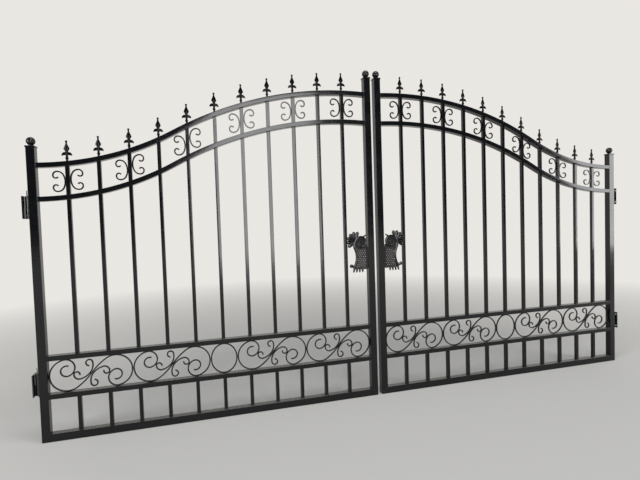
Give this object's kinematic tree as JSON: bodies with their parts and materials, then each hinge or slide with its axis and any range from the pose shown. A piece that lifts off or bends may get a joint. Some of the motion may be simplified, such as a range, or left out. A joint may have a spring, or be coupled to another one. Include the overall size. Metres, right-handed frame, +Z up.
{
  "type": "double driveway gate",
  "caption": "Pair of arched steel driveway gate leaves with pickets, spear finials, ball caps, a scroll band and pierced pull plates, on bolted pin hinges.",
  "frame": {"origin": "middle of the left lower hinge plate, on the face that lies against the post", "axes": "+X along the closed gate from the left post face to the right one, +Y to the back, the side that the leaves open to, +Z up"},
  "size_m": [3.711, 0.0665, 1.9537],
  "materials": {
    "frame": "semi-gloss black coating",
    "castings": "semi-gloss black coating on cast metal",
    "hinges": "semi-gloss black coating with bare steel pins"
  },
  "bodies": {
    "posts_side": {"left_lower_hinge_post_half": "hinges", "left_upper_hinge_post_half": "hinges", "right_lower_hinge_post_half": "hinges", "right_upper_hinge_post_half": "hinges"},
    "left_leaf": {"left_band_c_scrolls": "frame", "left_band_lower_rail": "frame", "left_band_ring": "frame", "left_band_s_scrolls": "frame", "left_band_upper_rail": "frame", "left_bottom_rail": "frame", "left_foot_pickets": "frame", "left_head_pickets": "frame", "left_hinge_stile": "frame", "left_hinge_stile_cap": "frame", "left_inner_arch_rail": "frame", "left_long_pickets": "frame", "left_lower_hinge_gate_half": "hinges", "left_meeting_stile": "frame", "left_meeting_stile_cap": "frame", "left_picket_c_scrolls": "frame", "left_pull_plate": "castings", "left_spear_finials": "castings", "left_top_arch_rail": "frame", "left_upper_hinge_gate_half": "hinges"},
    "right_leaf": {"right_band_c_scrolls": "frame", "right_band_lower_rail": "frame", "right_band_ring": "frame", "right_band_s_scrolls": "frame", "right_band_upper_rail": "frame", "right_bottom_rail": "frame", "right_foot_pickets": "frame", "right_head_pickets": "frame", "right_hinge_stile": "frame", "right_hinge_stile_cap": "frame", "right_inner_arch_rail": "frame", "right_long_pickets": "frame", "right_lower_hinge_gate_half": "hinges", "right_meeting_stile": "frame", "right_meeting_stile_cap": "frame", "right_picket_c_scrolls": "frame", "right_pull_plate": "castings", "right_spear_finials": "castings", "right_top_arch_rail": "frame", "right_upper_hinge_gate_half": "hinges"}
  },
  "joints": [
    {"name": "left_leaf_swing", "type": "hinge", "parent": "posts_side", "child": "left_leaf", "pos_m": [0.016, 0, 0], "axis": [0, 0, 1], "range_deg": [0, 90]},
    {"name": "right_leaf_swing", "type": "hinge", "parent": "posts_side", "child": "right_leaf", "pos_m": [3.695, 0, 0], "axis": [0, 0, -1], "range_deg": [0, 90]}
  ]
}
